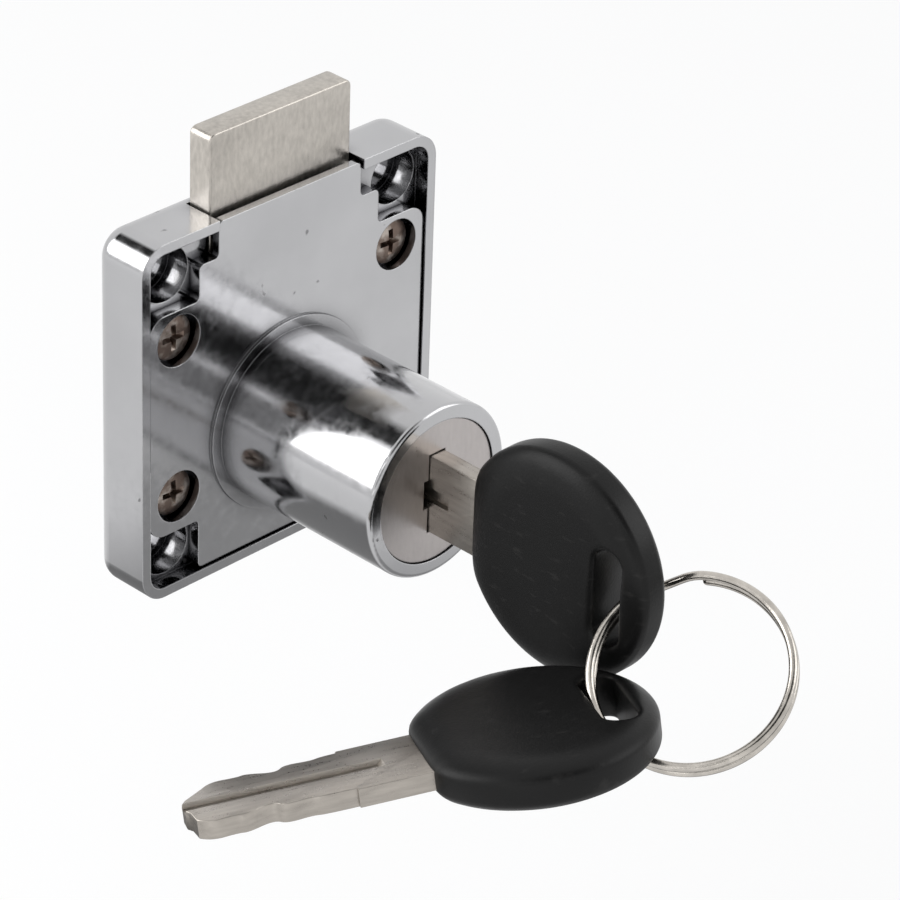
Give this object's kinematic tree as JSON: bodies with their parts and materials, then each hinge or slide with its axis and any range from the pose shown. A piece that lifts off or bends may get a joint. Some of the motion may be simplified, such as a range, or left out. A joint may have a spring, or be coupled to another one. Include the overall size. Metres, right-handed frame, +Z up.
{
  "type": "cabinet lock",
  "caption": "Surface-fit cabinet lock with a square case, a round barrel, a sliding bolt at the top, and black-headed keys on a split ring, one in the keyway",
  "frame": {"origin": "On the barrel's axis, in the plane of the case's front rim, where the barrel starts", "axes": "+X to the right, +Y from the barrel's end to the case's back, +Z up, the way the bolt comes out"},
  "size_m": [0.0642, 0.072, 0.0484],
  "materials": {
    "chrome": "bright plated zinc casting with a soft polish",
    "nickel": "nickel plated, fine brushed lines",
    "bronze": "dark bronze screw heads",
    "brass": "stamped brass",
    "black_plastic": "satin moulded black plastic"
  },
  "bodies": {
    "root": {"rear_case": "chrome", "front_cover": "chrome", "cover_screws": "bronze"},
    "bolt": {"bolt": "nickel"},
    "plug": {"plug": "nickel", "retainer_clip": "nickel", "wafer_spring_1": "nickel", "wafer_spring_2": "nickel", "wafer_spring_3": "nickel", "wafer_spring_4": "nickel", "wafer_spring_5": "nickel", "wafer_spring_6": "nickel", "wafer_spring_7": "nickel", "wafer_spring_8": "nickel"},
    "wafers_up": {"wafer_1": "brass", "wafer_3": "brass", "wafer_5": "brass", "wafer_7": "brass"},
    "wafers_down": {"wafer_2": "brass", "wafer_4": "brass", "wafer_6": "brass", "wafer_8": "brass"},
    "key_1": {"key_1_blade": "nickel", "key_1_head": "black_plastic"},
    "split_ring": {"split_ring": "nickel"},
    "key_2": {"key_2_blade": "nickel", "key_2_head": "black_plastic"}
  },
  "joints": [
    {"name": "plug_turn", "type": "hinge", "parent": "root", "child": "plug", "pos_m": [0, 0, 0], "axis": [0, 1, 0], "range_deg": [0, 180]},
    {"name": "bolt_slide", "type": "slide", "parent": "root", "child": "bolt", "axis": [0, 0, 1], "range_m": [-0.00841, 0]},
    {"name": "key_slide", "type": "slide", "parent": "plug", "child": "key_1", "axis": [0, -1, 0], "range_m": [0, 0.028]},
    {"name": "wafers_up_slide", "type": "slide", "parent": "plug", "child": "wafers_up", "axis": [0, 0, 1], "range_m": [0, 0.00121]},
    {"name": "wafers_down_slide", "type": "slide", "parent": "plug", "child": "wafers_down", "axis": [0, 0, -1], "range_m": [0, 0.00121]},
    {"name": "ring_tilt", "type": "hinge", "parent": "key_1", "child": "split_ring", "pos_m": [0, -0.0457, -0.00216], "axis": [0.831, -0.1472, 0.5364], "range_deg": [-20, 2]},
    {"name": "key_2_orbit", "type": "hinge", "parent": "split_ring", "child": "key_2", "pos_m": [0.00016, -0.05498, -0.00496], "axis": [0.556, 0.249, -0.793], "range_deg": [-50, 0]}
  ],
  "couplings": [
    {"joint": "bolt_slide", "follows": "plug_turn", "m_per_rad": -0.0026738},
    {"joint": "wafers_up_slide", "follows": "key_slide", "ratio": 0.042857},
    {"joint": "wafers_down_slide", "follows": "key_slide", "ratio": 0.042857}
  ]
}
